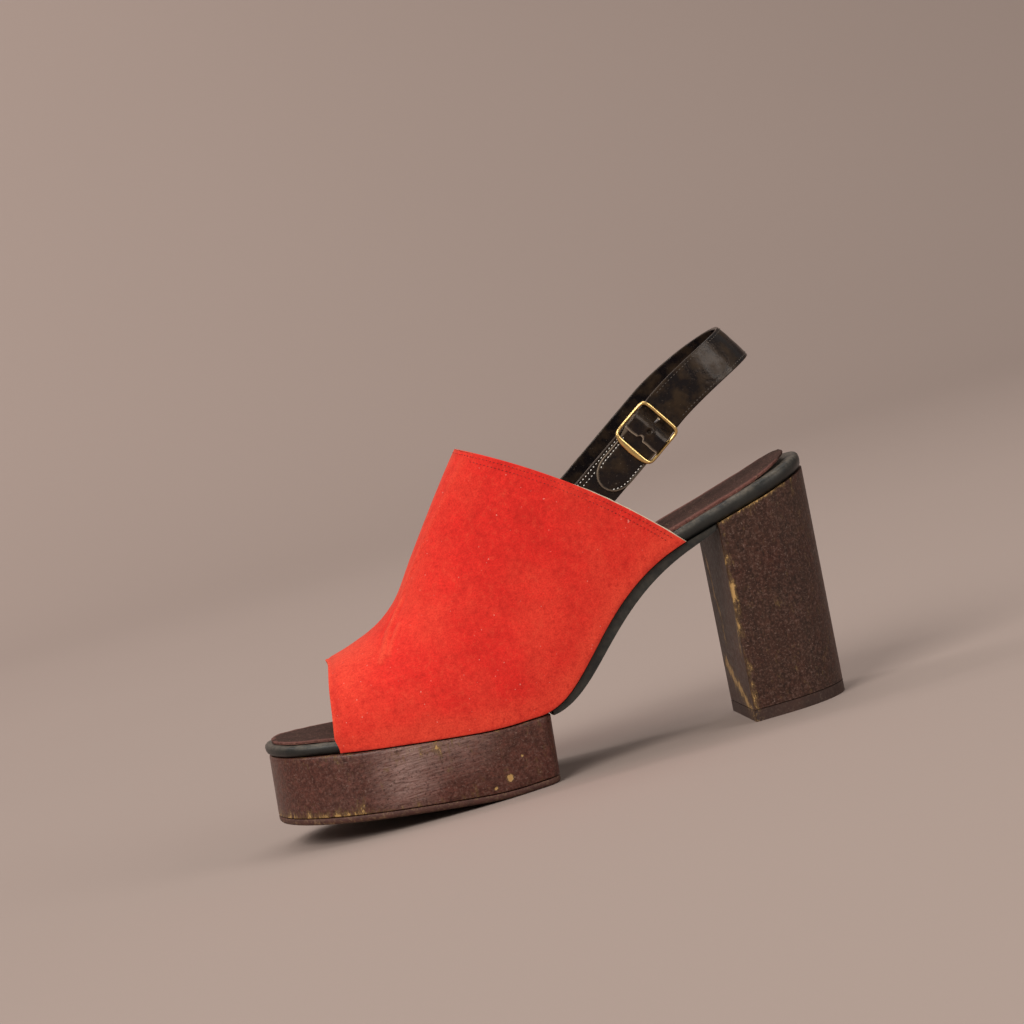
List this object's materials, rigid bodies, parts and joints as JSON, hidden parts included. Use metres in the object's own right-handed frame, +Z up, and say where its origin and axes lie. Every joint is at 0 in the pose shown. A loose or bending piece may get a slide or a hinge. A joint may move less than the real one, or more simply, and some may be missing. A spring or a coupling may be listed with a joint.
{
  "type": "platform heel shoe",
  "caption": "Left peep-toe slingback shoe with a red suede vamp, a dark wooden platform and block heel, black patent sling straps and a fastened brass buckle.",
  "frame": {"origin": "on the floor, below the middle of the shoe's box", "axes": "+Z up, +X towards the heel, -X towards the toe, -Y the outer side with the buckle"},
  "size_m": [0.2396, 0.0888, 0.1545],
  "materials": {
    "suede": "red suede with a soft nap",
    "stained_wood": "dark red-brown stain, satin and scuffed",
    "black_leather": "smooth black, worn at its edges",
    "worn_lining": "dull dusty brown",
    "patent": "black patent gloss",
    "brass": "polished, slightly tarnished",
    "steel": "polished wire",
    "rubber": "dull dark brown, dusty"
  },
  "bodies": {
    "root": {"platform": "stained_wood", "outsole": "rubber", "footbed": "black_leather", "sock_lining": "worn_lining", "waist_sole": "black_leather", "heel_block": "stained_wood", "heel_top_lift": "rubber", "vamp": "suede", "long_strap": "patent", "short_strap": "patent", "buckle_frame": "brass", "buckle_bar": "brass", "buckle_prong": "steel"}
  },
  "joints": []
}
